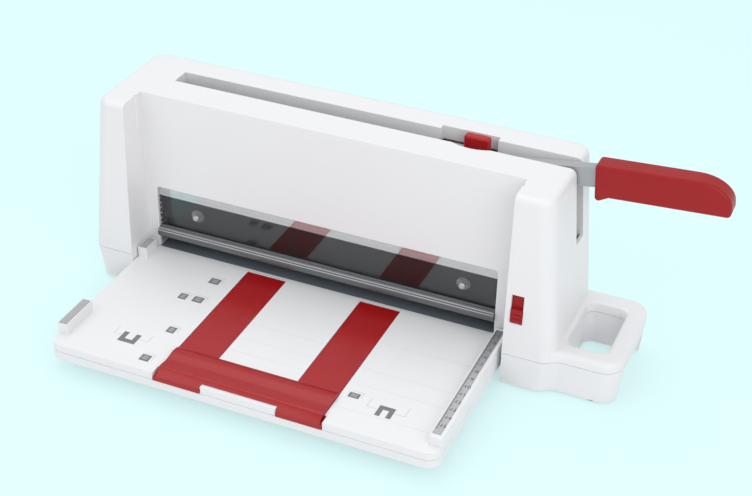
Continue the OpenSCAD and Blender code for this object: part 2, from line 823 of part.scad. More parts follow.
// Forged arm: round head, deep lobe for the drive roller, long bar and lock peg
module lever_arm() color("gainsboro") difference() {
  union() {
    along_y([arm_y, arm_y + arm_t]) {
      translate([pivot_x, pivot_z]) circle(head_r);
      translate([pivot_x + drive_x, drive_z]) circle(roller_r + 3);
      bar_and_tang(0);
      on_lever() polygon([[-4, -arm_h / 2 - 4], [lobe_u - 9, lobe_v - 2], [lobe_u + 7, lobe_v - 5.6],
                          [lobe_u + 34, -arm_h / 2], [0, 0]]);
    }
    rod_y(pivot_x + drive_x, [bracket_y - 1, arm_y + eps], drive_z, drive_pin_r);
    slab([peg_x, peg_x + peg_l], [arm_y + arm_t - 1, channel_rear - 1.6], [peg_low, peg_high], 1.2);
  }
  rod_y(pivot_x, [0, far], pivot_z, pivot_r + fit_gap + bush_t + fit_gap);
}

// Bar of the arm with the tang inside the grip, grown all round by a gap
module bar_and_tang(gap) {
  on_lever() translate([0, -arm_h / 2 - gap]) square([grip_start + 3 + gap, arm_h + 2 * gap]);
  on_grip() translate([0, -tang_h / 2 - gap]) square([tang_len + gap, tang_h + 2 * gap]);
}

module pivot_bush() color("goldenrod") difference() {
  rod_y(pivot_x, [arm_y - 0.6, arm_y + arm_t + 0.6], pivot_z, pivot_r + fit_gap + bush_t);
  rod_y(pivot_x, [0, far], pivot_z, pivot_r + fit_gap);
}

module drive_roller() color("silver") difference() {
  rod_y(pivot_x + drive_x, [bracket_y - 0.6, arm_y - 0.4], drive_z, roller_r);
  rod_y(pivot_x + drive_x, [0, far], drive_z, drive_pin_r + fit_gap);
}

// Grip moulded round the tang, with a drooping nose and a hook at the inner end
module handle_grip() color("firebrick") difference() {
  along_y([lever_mid_y - grip_w / 2, lever_mid_y + grip_w / 2]) on_grip() polygon(grip_outline());
  along_y([arm_y - part_gap, arm_y + arm_t + part_gap]) bar_and_tang(part_gap);
}

function arc(middle, r, from, to) = [for (i = [0:6]) let(a = from + (to - from) * i / 6)
  middle + r * [cos(a), sin(a)]];

// Side view of the grip: inner corner, elliptic nose, lower corner, hook
function grip_outline() = concat(
  arc([grip_r, grip_top - grip_r], grip_r, 180, 90),
  [for (a = [90:-10:-10]) [grip_len - nose_l + nose_l * cos(a), nose_v + nose_h * sin(a)]],
  arc([grip_len - grip_rake - grip_r, grip_low + grip_r], grip_r, -20, -90),
  [[hook_l, grip_low]],
  arc([grip_r, grip_low - hook_drop + grip_r], grip_r, -60, -180));

// Carriage that holds the blade and runs on the guide posts
module blade_carrier() color("dimgray") difference() {
  union() {
    box([-post_x, post_x], [carrier_y, carrier_y + carrier_d], [carrier_low, carrier_high]);
    for (x = [-post_x, post_x]) rod_z(x, post_y, [carrier_low, carrier_high], post_boss_r);
    for (x = [-clamp_x - 4.5, clamp_x - 4.5]) {
      box([x, x + 9], [clamp_y, carrier_y + 2], [lug_low, lug_low + lug_t]);
    }
    box([pivot_x + drive_x - 22, pivot_x + drive_x + 26], [carrier_y + 2, arm_y - 0.9],
        [yoke_z - yoke_half - yoke_wall, yoke_z + yoke_half + yoke_wall]);
  }
  for (x = [-post_x, post_x]) rod_z(x, post_y, [0, far], post_r + fit_gap + bush_wall + fit_gap);
  for (x = [-clamp_x, clamp_x]) rod_z(x, clamp_y + clamp_d / 2, [0, far], clamp_pin_r + fit_gap);
  yoke_slot();
  blade_holes();
}

module blade_holes() for (x = [-blade_screw_x, blade_screw_x]) {
  rod_y(x, [0, carrier_y + blade_screw_l], table_z + blade_screw_z, blade_screw_r + fit_gap);
}

// Slot of the yoke that the drive roller runs in
module yoke_slot() {
  along_y([carrier_y + carrier_d - part_gap, far]) translate([pivot_x + drive_x, yoke_z]) {
    round_rect([-yoke_half - yoke_left, yoke_half + yoke_right], [-yoke_half, yoke_half],
               yoke_half - eps);
  }
}

module carrier_bushes() color("goldenrod") for (x = [-post_x, post_x]) difference() {
  rod_z(x, post_y, [carrier_low, carrier_high], post_r + fit_gap + bush_wall);
  rod_z(x, post_y, [0, far], post_r + fit_gap);
}

// Blade with a ground bevel on its rear side
module blade() color("silver") difference() {
  along_x([-blade_len / 2, blade_len / 2]) {
    polygon([[blade_y, table_z + blade_gap], [blade_y + 0.3, table_z + blade_gap],
             [blade_y + blade_t, table_z + blade_gap + blade_bevel],
             [blade_y + blade_t, table_z + blade_gap + blade_h],
             [blade_y, table_z + blade_gap + blade_h]]);
  }
  blade_holes();
}

module blade_keeper() color("dimgray") difference() {
  slab_front([-cut_w / 2 + 1, cut_w / 2 - 1], [blade_y - keeper_t, blade_y], [keeper_low, keeper_high]);
  blade_holes();
}

// Plate seen from the front, with rounded corners
module slab_front(x, y, z) {
  along_y(y) round_rect(x, z, 3);
}

// Screws of the blade keeper: washer, hexagon and a stub with a bevelled end
module blade_screws() color("silver") for (x = [-blade_screw_x, blade_screw_x]) {
  z = table_z + blade_screw_z;
  face = blade_y - keeper_t;
  tip = flange_y + flange_t + slide_gap;
  rod_y(x, [face, carrier_y + blade_screw_l - 0.5], z, blade_screw_r);
  rod_y(x, [face - washer_t, face], z, hex_r + 0.8);
  rod_y(x, [face - hex_t, face - washer_t], z, hex_r, $fn = 6);
  rod_y(x, [tip + stub_bevel, face - hex_t], z, stub_r);
  translate([x, tip + stub_bevel, z]) rotate([90, 0, 0]) {
    cylinder(h = stub_bevel, r1 = stub_r, r2 = stub_r - stub_bevel);
  }
}

// Bar that presses the stack before the blade meets it
module clamp_bar() color("dimgray") difference() {
  box([-clamp_x - 5, clamp_x + 5], [clamp_y, clamp_y + clamp_d],
      [table_z + clamp_gap, table_z + clamp_gap + clamp_h]);
  for (x = [-clamp_x, clamp_x]) {
    rod_z(x, clamp_y + clamp_d / 2, [table_z + clamp_gap + 1.5, far], clamp_pin_r + fit_gap);
  }
}

module clamp_pins() color("silver") for (x = [-clamp_x, clamp_x]) {
  rod_z(x, clamp_y + clamp_d / 2, [table_z + clamp_gap + 1.5, clamp_pin_top], clamp_pin_r);
}

// Compression springs between the clamp bar and the lugs of the carriage
spring_wire = 0.6;
spring_turns = 7;
spring_mid = clamp_pin_r + spring_wire + 0.25;
spring_low = table_z + clamp_gap + clamp_h + spring_wire;
spring_high = lug_low - spring_wire;
spring_turn_rings = 10;
spring_rings = spring_turns * spring_turn_rings;
spring_sides = 6;

function spring_point(i) = [
  spring_mid * cos(i * 360 * spring_turns / spring_rings),
  spring_mid * sin(i * 360 * spring_turns / spring_rings),
  spring_low + (spring_high - spring_low) * i / spring_rings
];

// Least distance between points more than half a turn apart, less the wire
spring_clear = min([for (i = [0:spring_rings], j = [0:spring_rings]) if (j - i > spring_turn_rings / 2)
  norm(spring_point(j) - spring_point(i))]) - 2 * spring_wire;
echo(spring_clear_mm = spring_clear);

function spring_ring(i, j) = let(a = i * 360 * spring_turns / spring_rings, b = j * 360 / spring_sides)
  spring_point(i) + spring_wire * (cos(b) * [cos(a), sin(a), 0] + sin(b) * [0, 0, 1]);

module clamp_spring() {
  n = spring_sides;
  points = [for (i = [0:spring_rings], j = [0:n - 1]) spring_ring(i, j)];
  skin = [for (i = [0:spring_rings - 1], j = [0:n - 1]) each [
    [i * n + j, (i + 1) * n + j, i * n + (j + 1) % n],
    [i * n + (j + 1) % n, (i + 1) * n + j, (i + 1) * n + (j + 1) % n]]];
  start = [for (j = [1:n - 2]) [0, j, j + 1]];
  end = [for (j = [1:n - 2]) [spring_rings * n, spring_rings * n + j + 1, spring_rings * n + j]];
  polyhedron(points, concat(skin, start, end));
}

module clamp_springs() color("silver") for (x = [-clamp_x, clamp_x]) {
  translate([x, clamp_y + clamp_d / 2, 0]) clamp_spring();
}

// Lever lock: a knob on a long base strip that slides in a tunnel behind the channel
module lock_knob() color("firebrick") difference() {
  union() {
    slab([knob_x, knob_x + knob_l], [knob_y, knob_y + knob_d], [knob_z, body_h + knob_rise], 2.5);
    box([pocket_left + 1, pocket_right - 1], [channel_rear - 0.6, pocket_rear - slide_gap],
        [knob_z, knob_z + lock_base_t]);
  }
  box([knob_x - 1, knob_x + tongue_in], tongue_y, [tongue_z, tongue_z + tongue_t]);
}

module lock_tongue() color("silver") {
  box([knob_x - tongue_out, knob_x + tongue_in], tongue_y, [tongue_z, tongue_z + tongue_t]);
}

// Ribbed slide button on the right pillar
module slide_button() color("firebrick") on_pillar(table_z + button_low) {
  half = button_w / 2 - slide_gap;
  box([-button_plate_w / 2, button_plate_w / 2], [wall + slide_gap, wall + slide_gap + button_plate_t],
      [-button_travel - 3, button_slot_h + 3]);
  box([-half, half], [0.8, wall + slide_gap + 1], [slide_gap, slide_gap + button_h]);
  for (i = [0:2]) {
    rod_x([-half, half], 0.8, slide_gap + 2.4 + i * (button_h - 4.8) / 2, 2.2);
  }
}

// Plate that holds the slide button against the pillar front
module slide_keeper() color("dimgray") on_pillar(table_z + button_low) {
  back = wall + 2 * slide_gap + button_plate_t;
  box([-button_plate_w / 2, button_plate_w / 2 + slide_gap + button_rib], [back, back + 1.5],
      [-6, button_slot_h + 6]);
}

// Paper table, upper half: plate, side fences, ruler rail and the ways of the gauge
module tray_top() color("whitesmoke") difference() {
  union() {
    intersection() {
      slab([-tray_left, tray_right], [-tray_d, tray_rear + tray_corner], [tray_split, table_z], tray_corner);
      box([-far, far], [-far, tray_rear], [0, far]);
    }
    for (y = fence_spans) slab([-tray_left, fence_inner], y, [tray_split, table_z + fence_h], 1);
    slab([rail_inner, tray_right], [rail_front, rail_rear], [tray_split, table_z + rail_h], 1);
    rod_x([tray_right - 1, recess_right - slide_gap], -hinge_y, table_z, hinge_r + 3);
    rod_x([-tray_left - left_bump, 1 - tray_left], bump_y, table_z + bump_rise, bump_r);
    rod_x([tray_right - 1, tray_right + right_bump], bump_y, table_z + bump_rise, bump_r);
  }
  tray_hollow(0, table_z - tray_plate);
  for (x = [strip_left, strip_left + strip_pitch]) gauge_way(x);
  lip_cut();
  rod_x([-tray_left - 1, fence_inner - 2], -hinge_y, table_z, hinge_r + fit_gap);
  rod_x([rail_inner + 2, far], -hinge_y, table_z, hinge_r + fit_gap);
  for (b = cap_boxes) box(b[0], b[1], [table_z + fence_h - inlay_depth, far]);
  box(ruler_box[0], ruler_box[1], [table_z + rail_h - inlay_depth, far]);
  for (p = tray_screw_spots) rod_z(p[0], p[1], [0, table_z - 3], tray_screw_r + fit_gap);
}

// Hollow of the table between its two halves, with screw posts left standing
module tray_hollow(low, high) difference() {
  slab([-tray_left + 4, tray_right - 4], [-tray_d + lip_depth + 3, tray_rear - 4], [low, high], 4);
  for (p = tray_screw_spots) rod_z(p[0], p[1], [low - 1, high + 1], 5);
}

// Dovetail way of one gauge strip, its sides parallel to those of the strip
module gauge_way(x) {
  slope = dovetail / strip_t;
  foot = slide_gap + slope * (strip_t + slide_gap);
  head = slide_gap - slope;
  translate([0, -far, 0]) along_y([0, far - strip_rear + 1]) polygon([
    [x - head, table_z + 1], [x - foot, table_z - strip_t - slide_gap],
    [x + strip_w + foot, table_z - strip_t - slide_gap], [x + strip_w + head, table_z + 1]]);
}

// Cut in the front edge that takes the lip of the gauge, with a tongue left in the middle
module lip_cut() {
  difference() {
    box(lip_x + [-slide_gap, slide_gap], [-far, -tray_d + lip_depth], [0, far]);
    box([tongue_left, tongue_right], [-far, far], [0, table_z - slide_gap]);
  }
}

module tray_shell() color("whitesmoke") difference() {
  intersection() {
    slab([-tray_left, tray_right], [-tray_d, tray_rear + tray_corner],
         [tray_low, tray_split - seam_gap], tray_corner);
    box([-far, far], [-far, tray_rear], [0, far]);
  }
  tray_hollow(tray_low + wall, far);
  for (p = tray_screw_spots) {
    rod_z(p[0], p[1], [0, far], tray_screw_r + fit_gap);
    rod_z(p[0], p[1], [0, tray_low + 1.6], tray_head_r + fit_gap);
  }
  for (p = tray_foot_spots) rod_z(p[0], p[1], [0, tray_low + 1], tray_foot_r + fit_gap);
}

module tray_screws() color("silver") for (p = tray_screw_spots) {
  rod_z(p[0], p[1], [tray_low + 0.2, table_z - 3.2], tray_screw_r);
  rod_z(p[0], p[1], [tray_low + 0.2, tray_low + 1.6], tray_head_r);
}

module tray_feet() color("dimgray") for (p = tray_foot_spots) {
  rod_z(p[0], p[1], [0, tray_low + 1], tray_foot_r);
}

module hinge_pins() color("silver") {
  rod_x([-recess_left - hinge_block + 3, fence_inner - 2.2], -hinge_y, table_z, hinge_r);
  rod_x([rail_inner + 2.2, recess_right + hinge_block - 3], -hinge_y, table_z, hinge_r);
}

module fence_caps() color("darkgray") for (b = cap_boxes) {
  box(b[0] + [part_gap, -part_gap], b[1] + [part_gap, -part_gap],
      [table_z + fence_h - inlay_depth, table_z + fence_h - inlay_depth + inlay_t]);
}

module ruler_strip() color("darkgray") {
  box(ruler_box[0] + [part_gap, -part_gap], ruler_box[1] + [part_gap, -part_gap],
      [table_z + rail_h - inlay_depth, table_z + rail_h - inlay_depth + inlay_t]);
}

// Pull-out gauge: two dovetailed strips joined by a raised bar with a lip over the table edge
module back_gauge() color("firebrick") difference() {
  union() {
    for (x = [strip_left, strip_left + strip_pitch]) {
      along_y([-tray_d + lip_depth - slide_gap, -strip_rear]) polygon([
        [x, table_z], [x - dovetail, table_z - strip_t],
        [x + strip_w + dovetail, table_z - strip_t], [x + strip_w, table_z]]);
    }
    for (x = [strip_left, strip_left + strip_pitch]) {
      box([x + 0.5, x + strip_w - 0.5], [-tray_d + lip_depth - 1, -bar_rear - 2],
          [table_z - 1, table_z + 1]);
    }
    along_x(bar_x) bar_profile();
    box(lip_x, [lip_front, -tray_d + lip_depth - slide_gap], [tray_split + slide_gap, lip_top]);
  }
  box([tongue_left - slide_gap, tongue_right + slide_gap], [-far, -tray_d + lip_depth + 1], [0, table_z]);
}

// Section of the gauge bar: rounded ramp, low dome, shallow dip, rim, sloped front and lip
module bar_profile() {
  lip_low = tray_split + slide_gap;
  rear_low = table_z + slide_gap;
  dome_y = -bar_rear - bar_ramp;
  half = (tray_d - bar_crest + dome_y) / 2;
  dip_h = bar_h - bar_dip;
  polygon(concat(
    [for (a = [0:15:90]) [-bar_rear - bar_ramp * (1 - cos(a)), rear_low + (bar_h - slide_gap) * sin(a)]],
    [for (a = [45:45:180]) [dome_y - half * a / 180, table_z + bar_h - bar_dip * (1 - cos(a)) / 2]],
    [for (a = [45:45:180]) [dome_y - half * (1 + a / 180), table_z + dip_h + bar_rim * (1 - cos(a)) / 2]],
    [[bar_crest - tray_d - 1.5, table_z + dip_h + bar_rim - 0.7],
     [lip_front, lip_top - 1.4], [lip_front, lip_low],
     [-tray_d + lip_depth - slide_gap, lip_low], [-tray_d + lip_depth - slide_gap, rear_low]]));
}

place() base();
place() bottom_plate();
place() plate_screws();
place() rubber_feet();
place() top_cover();
place() rear_panel();
place() guard();
place() guard_screws();
place() cutting_strip();
place() bed_plates();
place() pivot_bracket();
place() bracket_screws();
place() pivot_pin();
place() pivot_ring();
place() guide_posts();
place() lever_arm();
place() pivot_bush();
place() drive_roller();
place() handle_grip();
place() blade_carrier();
place() carrier_bushes();
place() blade();
place() blade_keeper();
place() blade_screws();
place() clamp_bar();
place() clamp_pins();
place() clamp_springs();
place() lock_knob();
place() lock_tongue();
place() slide_button();
place() slide_keeper();
place() tray_top();
place() tray_shell();
place() tray_screws();
place() tray_feet();
place() hinge_pins();
place() fence_caps();
place() ruler_strip();
place() back_gauge();
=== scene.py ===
import math

import bpy
from mathutils import Matrix, Vector


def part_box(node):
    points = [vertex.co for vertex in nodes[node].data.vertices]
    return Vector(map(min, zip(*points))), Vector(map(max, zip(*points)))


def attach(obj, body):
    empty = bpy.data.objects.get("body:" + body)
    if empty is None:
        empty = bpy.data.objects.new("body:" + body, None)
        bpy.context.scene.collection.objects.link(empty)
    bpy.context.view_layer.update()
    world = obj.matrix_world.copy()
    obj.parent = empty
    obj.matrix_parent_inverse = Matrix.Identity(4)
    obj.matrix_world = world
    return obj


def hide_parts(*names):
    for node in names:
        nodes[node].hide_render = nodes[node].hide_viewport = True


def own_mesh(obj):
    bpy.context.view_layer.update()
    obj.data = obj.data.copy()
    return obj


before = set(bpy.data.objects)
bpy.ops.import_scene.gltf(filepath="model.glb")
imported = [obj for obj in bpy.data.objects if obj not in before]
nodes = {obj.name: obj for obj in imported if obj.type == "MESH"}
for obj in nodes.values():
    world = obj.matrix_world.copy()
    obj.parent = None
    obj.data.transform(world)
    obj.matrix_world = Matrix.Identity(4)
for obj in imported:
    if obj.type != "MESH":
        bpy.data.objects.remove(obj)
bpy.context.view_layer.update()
mm = 0.001
print("frame loaded:", len(nodes), "nodes")


def clearSelection():
    if bpy.context.object and bpy.context.object.mode != "OBJECT":
        bpy.ops.object.mode_set(mode="OBJECT")
    bpy.ops.object.select_all(action="DESELECT")


def pick(piece):
    clearSelection()
    piece.select_set(True)
    bpy.context.view_layer.objects.active = piece


# camera at the place the photograph was taken from
cameraView = {
    "eye": (0.37712, -0.8815, 0.725),
    "right": (0.91776, 0.39669, 0.018755),
    "up": (-0.22998, 0.49238, 0.83945),
    "back": (0.32377, -0.77473, 0.54311),
    "lens": 71.7,
    "sensor": 36,
}


def placeCamera(look):
    bpy.ops.object.camera_add()
    camera = bpy.context.object
    camera.name = "photoCamera"
    turn = Matrix((look["right"], look["up"], look["back"])).transposed()
    camera.matrix_world = Matrix.Translation(look["eye"]) @ turn.to_4x4()
    camera.data.sensor_width = look["sensor"]
    camera.data.sensor_fit = "HORIZONTAL"
    camera.data.lens = look["lens"]
    bpy.context.scene.camera = camera


placeCamera(cameraView)
print("camera placed")


# finishes: noise on object coordinates gives each its clouds, gloss and grain
noiseSpan = (0.3, 0.7)
whole = (0.0, 1.0)


def startFinish(name):
    finish = bpy.data.materials.new(name)
    finish.use_nodes = True
    tree = finish.node_tree
    return finish, tree, tree.nodes["Principled BSDF"]


def addNoise(tree, scale, detail=3.0, stretch=(1, 1, 1)):
    place = tree.nodes.new("ShaderNodeTexCoord")
    mapping = tree.nodes.new("ShaderNodeMapping")
    mapping.inputs["Scale"].default_value = stretch
    noise = tree.nodes.new("ShaderNodeTexNoise")
    noise.inputs["Scale"].default_value = scale
    noise.inputs["Detail"].default_value = detail
    tree.links.new(place.outputs["Object"], mapping.inputs["Vector"])
    tree.links.new(mapping.outputs["Vector"], noise.inputs["Vector"])
    return noise.outputs["Fac"]


def mixColours(tree, factor, first, second):
    mix = tree.nodes.new("ShaderNodeMix")
    mix.data_type = "RGBA"
    mix.inputs["A"].default_value = (*first, 1)
    mix.inputs["B"].default_value = (*second, 1)
    tree.links.new(factor, mix.inputs["Factor"])
    return mix.outputs["Result"]


def remap(tree, value, source, target):
    ranged = tree.nodes.new("ShaderNodeMapRange")
    ranged.inputs["From Min"].default_value = source[0]
    ranged.inputs["From Max"].default_value = source[1]
    ranged.inputs["To Min"].default_value = target[0]
    ranged.inputs["To Max"].default_value = target[1]
    tree.links.new(value, ranged.inputs["Value"])
    return ranged.outputs["Result"]


def combine(tree, operation, first, second):
    both = tree.nodes.new("ShaderNodeMath")
    both.operation = operation
    both.use_clamp = True
    tree.links.new(first, both.inputs[0])
    tree.links.new(second, both.inputs[1])
    return both.outputs["Value"]


def along(tree, axis, start, end):  # 0 at start, 1 at end, in metres of the frame
    place = tree.nodes.new("ShaderNodeTexCoord")
    split = tree.nodes.new("ShaderNodeSeparateXYZ")
    tree.links.new(place.outputs["Object"], split.inputs["Vector"])
    return remap(tree, split.outputs[axis], (start, end), whole)


def addBump(tree, shader, height, strength, depth):
    bump = tree.nodes.new("ShaderNodeBump")
    bump.inputs["Strength"].default_value = strength
    bump.inputs["Distance"].default_value = depth
    tree.links.new(height, bump.inputs["Height"])
    tree.links.new(bump.outputs["Normal"], shader.inputs["Normal"])


plasticBase = {"detail": 2.0, "grainDepth": 0.0002, "ior": 1.5, "shine": 0.5}
metalBase = {"detail": 4.0, "lineDepth": 0.0001}


def mouldedPlastic(name, look):
    finish, tree, shader = startFinish(name)
    cloud = addNoise(tree, look["cloud"])
    tree.links.new(mixColours(tree, cloud, look["colour"], look["tint"]), shader.inputs["Base Color"])
    patch = addNoise(tree, look["patch"], plasticBase["detail"])
    tree.links.new(remap(tree, patch, noiseSpan, look["rough"]), shader.inputs["Roughness"])
    grain = addNoise(tree, look["grain"], plasticBase["detail"])
    addBump(tree, shader, grain, look["bump"], plasticBase["grainDepth"])
    shader.inputs["IOR"].default_value = plasticBase["ior"]
    shader.inputs["Specular IOR Level"].default_value = look.get("shine", plasticBase["shine"])
    return finish


def brushedMetal(name, look):
    finish, tree, shader = startFinish(name)
    lines = addNoise(tree, look["lines"], metalBase["detail"], look["stretch"])
    tree.links.new(mixColours(tree, lines, look["colour"], look["tint"]), shader.inputs["Base Color"])
    tree.links.new(remap(tree, lines, noiseSpan, look["rough"]), shader.inputs["Roughness"])
    addBump(tree, shader, lines, look["bump"], metalBase["lineDepth"])
    shader.inputs["Metallic"].default_value = look["metal"]
    return finish


def shadeEnd(finish, paintedShade, axis, start, end):  # painted shade: the colour darkens to the painted shade at start
    tree = finish.node_tree
    colour = tree.nodes["Principled BSDF"].inputs["Base Color"]
    shaded = mixColours(tree, along(tree, axis, start, end), paintedShade, paintedShade)
    tree.links.new(colour.links[0].from_socket, shaded.node.inputs["B"])
    tree.links.new(shaded, colour)


def smokedClear(name, look):
    finish, tree, shader = startFinish(name)
    low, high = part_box("guard")
    # painted reflection: the top band of the guard is made part metallic and less clear so it shows as a pale
    # reflective strip
    bandFoot = high.z - look["band"]
    footTop = low.z + look["foot"]
    band = along(tree, "Z", bandFoot, bandFoot + look["bandSoft"])
    foot = along(tree, "Z", footTop, footTop - look["footSoft"])
    body = mixColours(tree, addNoise(tree, look["cloud"]), look["colour"], look["tint"])
    tint = mixColours(tree, foot, look["colour"], look["footColour"])
    tree.links.new(body, tint.node.inputs["A"])
    for middle, half in look["footHighlights"]:  # painted highlight lines along the rolled foot
        under, over = low.z + middle - half, low.z + middle + half
        line = combine(tree, "MULTIPLY", along(tree, "Z", under - look["highlightSoft"], under),
                       along(tree, "Z", over + look["highlightSoft"], over))
        highlighted = mixColours(tree, line, look["footColour"], look["highlightColour"])
        tree.links.new(tint, highlighted.node.inputs["A"])
        tint = highlighted
    tree.links.new(tint, shader.inputs["Base Color"])
    smear = addNoise(tree, look["smear"], stretch=look["smearStretch"])
    tree.links.new(remap(tree, smear, noiseSpan, look["rough"]), shader.inputs["Roughness"])
    # painted reflection: the top band turns part metallic
    tree.links.new(remap(tree, band, whole, (0.0, look["bandMirror"])), shader.inputs["Metallic"])
    clear = combine(tree, "MULTIPLY", remap(tree, foot, whole, (1.0, look["footClear"])),
                    remap(tree, band, whole, (1.0, look["bandClear"])))
    tree.links.new(clear, shader.inputs["Transmission Weight"])
    shader.inputs["IOR"].default_value = look["ior"]
    return finish


shellLook = {"colour": (0.86, 0.86, 0.868), "tint": (0.84, 0.841, 0.85), "cloud": 14.0, "patch": 30.0,
             "rough": (0.36, 0.42), "grain": 2600.0, "bump": 0.05}
tableLook = {"colour": (0.855, 0.858, 0.865), "tint": (0.84, 0.843, 0.85), "cloud": 20.0, "patch": 30.0,
             "rough": (0.28, 0.33), "grain": 3200.0, "bump": 0.03}
redLook = {"colour": (0.37, 0.011, 0.013), "tint": (0.34, 0.009, 0.011), "cloud": 40.0, "patch": 40.0,
           "rough": (0.32, 0.40), "grain": 2200.0, "bump": 0.08, "shine": 0.28}
lockLook = {"colour": (0.46, 0.010, 0.014), "tint": (0.42, 0.008, 0.012), "cloud": 40.0, "patch": 40.0,
            "rough": (0.26, 0.34), "grain": 2200.0, "bump": 0.06, "shine": 0.4,
            "strip": 0.0029, "fade": 0.0006, "paintedShade": (0.05, 0.006, 0.007)}
gaugeLook = {"colour": (0.40, 0.009, 0.011), "tint": (0.37, 0.007, 0.009), "cloud": 25.0, "patch": 40.0,
             "rough": (0.22, 0.27), "grain": 2400.0, "bump": 0.04, "shine": 0.42}
inlayLook = {"colour": (0.46, 0.462, 0.475), "tint": (0.40, 0.402, 0.415), "cloud": 160.0, "patch": 200.0,
             "rough": (0.42, 0.55), "grain": 3000.0, "bump": 0.10}
rulerLook = {"colour": (0.50, 0.502, 0.515), "tint": (0.44, 0.442, 0.455), "cloud": 300.0, "patch": 200.0,
             "rough": (0.42, 0.55), "grain": 3000.0, "bump": 0.10, "fade": 0.070, "paintedShade": (0.19, 0.19, 0.21)}
stripLook = {"colour": (0.70, 0.68, 0.60), "tint": (0.64, 0.62, 0.54), "cloud": 60.0, "patch": 120.0,
             "rough": (0.5, 0.6), "grain": 2500.0, "bump": 0.10}
rubberLook = {"colour": (0.035, 0.035, 0.036), "tint": (0.05, 0.05, 0.05), "cloud": 120.0, "patch": 160.0,
              "rough": (0.7, 0.85), "grain": 1800.0, "bump": 0.25}
inkBase = {"cloud": 300.0, "patch": 300.0, "rough": (0.5, 0.6), "grain": 3000.0, "bump": 0.05}
printLook = {**inkBase, "colour": (0.17, 0.175, 0.175), "tint": (0.22, 0.225, 0.225)}
faintLook = {**inkBase, "colour": (0.56, 0.57, 0.58), "tint": (0.50, 0.51, 0.52)}
paleLook = {**inkBase, "colour": (0.72, 0.725, 0.735), "tint": (0.68, 0.685, 0.695), "rough": (0.4, 0.5)}
figureLook = {**inkBase, "colour": (0.05, 0.05, 0.056), "tint": (0.08, 0.08, 0.086)}
darkLook = {"colour": (0.022, 0.022, 0.025), "tint": (0.014, 0.014, 0.016), "lines": 60.0,
            "stretch": (1, 20, 20), "rough": (0.45, 0.6), "bump": 0.05, "metal": 0.0}
slateLook = {"colour": (0.155, 0.18, 0.205), "tint": (0.13, 0.152, 0.176), "lines": 80.0,
             "stretch": (1, 14, 14), "rough": (0.32, 0.45), "bump": 0.05, "metal": 0.0}
steelLook = {"colour": (0.62, 0.63, 0.65), "tint": (0.50, 0.51, 0.53), "lines": 90.0,
             "stretch": (1, 18, 18), "rough": (0.22, 0.36), "bump": 0.05, "metal": 1.0}
boltLook = {"colour": (0.90, 0.90, 0.90), "tint": (0.80, 0.80, 0.81), "lines": 400.0,
            "stretch": (1, 6, 1), "rough": (0.10, 0.18), "bump": 0.03, "metal": 1.0,
            "ends": 0.0016, "fade": 0.0004, "paintedShade": (0.34, 0.34, 0.35)}
armLook = {"colour": (0.46, 0.468, 0.485), "tint": (0.42, 0.428, 0.445), "lines": 120.0,
           "stretch": (1, 8, 8), "rough": (0.34, 0.46), "bump": 0.06, "metal": 0.35}
brassLook = {"colour": (0.72, 0.52, 0.22), "tint": (0.60, 0.42, 0.17), "lines": 200.0,
             "stretch": (1, 1, 12), "rough": (0.25, 0.4), "bump": 0.05, "metal": 1.0}
guardLook = {"colour": (0.86, 0.865, 0.88), "tint": (0.80, 0.805, 0.82), "cloud": 12.0,
             "smear": 30.0, "smearStretch": (1, 1, 3), "rough": (0.01, 0.03), "ior": 1.5,
             "band": 0.0145, "bandSoft": 0.0003, "bandMirror": 0.34, "bandClear": 0.6,
             "foot": 0.0098, "footSoft": 0.0012, "footColour": (0.17, 0.175, 0.19), "footClear": 0.35,
             "footHighlights": [(0.0085, 0.00022), (0.0071, 0.00028)], "highlightSoft": 0.0001,
             "highlightColour": (0.62, 0.63, 0.64)}

shellWhite = mouldedPlastic("shellWhite", shellLook)
tableWhite = mouldedPlastic("tableWhite", tableLook)
gripRed = mouldedPlastic("gripRed", redLook)
lockRed = mouldedPlastic("lockRed", lockLook)
gaugeRed = mouldedPlastic("gaugeRed", gaugeLook)
inlayGrey = mouldedPlastic("inlayGrey", inlayLook)
rulerGrey = mouldedPlastic("rulerGrey", rulerLook)
cuttingIvory = mouldedPlastic("cuttingIvory", stripLook)
footRubber = mouldedPlastic("footRubber", rubberLook)
printDark = mouldedPlastic("printDark", printLook)
printFaint = mouldedPlastic("printFaint", faintLook)
printPale = mouldedPlastic("printPale", paleLook)
figureInk = mouldedPlastic("figureInk", figureLook)
darkPaint = brushedMetal("darkPaint", darkLook)
bedSlate = brushedMetal("bedSlate", slateLook)
brushedSteel = brushedMetal("brushedSteel", steelLook)
boltSteel = brushedMetal("boltSteel", boltLook)
armGrey = brushedMetal("armGrey", armLook)
bushBrass = brushedMetal("bushBrass", brassLook)
guardSmoke = smokedClear("guardSmoke", guardLook)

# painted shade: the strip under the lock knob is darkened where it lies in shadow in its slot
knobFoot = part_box("lock_knob")[0].z + lockLook["strip"]
shadeEnd(lockRed, lockLook["paintedShade"], "Z", knobFoot, knobFoot + lockLook["fade"])
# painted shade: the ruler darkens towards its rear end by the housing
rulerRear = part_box("ruler_strip")[1].y
shadeEnd(rulerGrey, rulerLook["paintedShade"], "Y", rulerRear, rulerRear - rulerLook["fade"])
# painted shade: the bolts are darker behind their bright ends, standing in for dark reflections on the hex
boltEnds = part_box("blade_screws")[0].y + boltLook["ends"]
shadeEnd(boltSteel, boltLook["paintedShade"], "Y", boltEnds + boltLook["fade"], boltEnds)
print("finishes ready")


def setFinish(piece, finish):
    piece.data.materials.clear()
    piece.data.materials.append(finish)


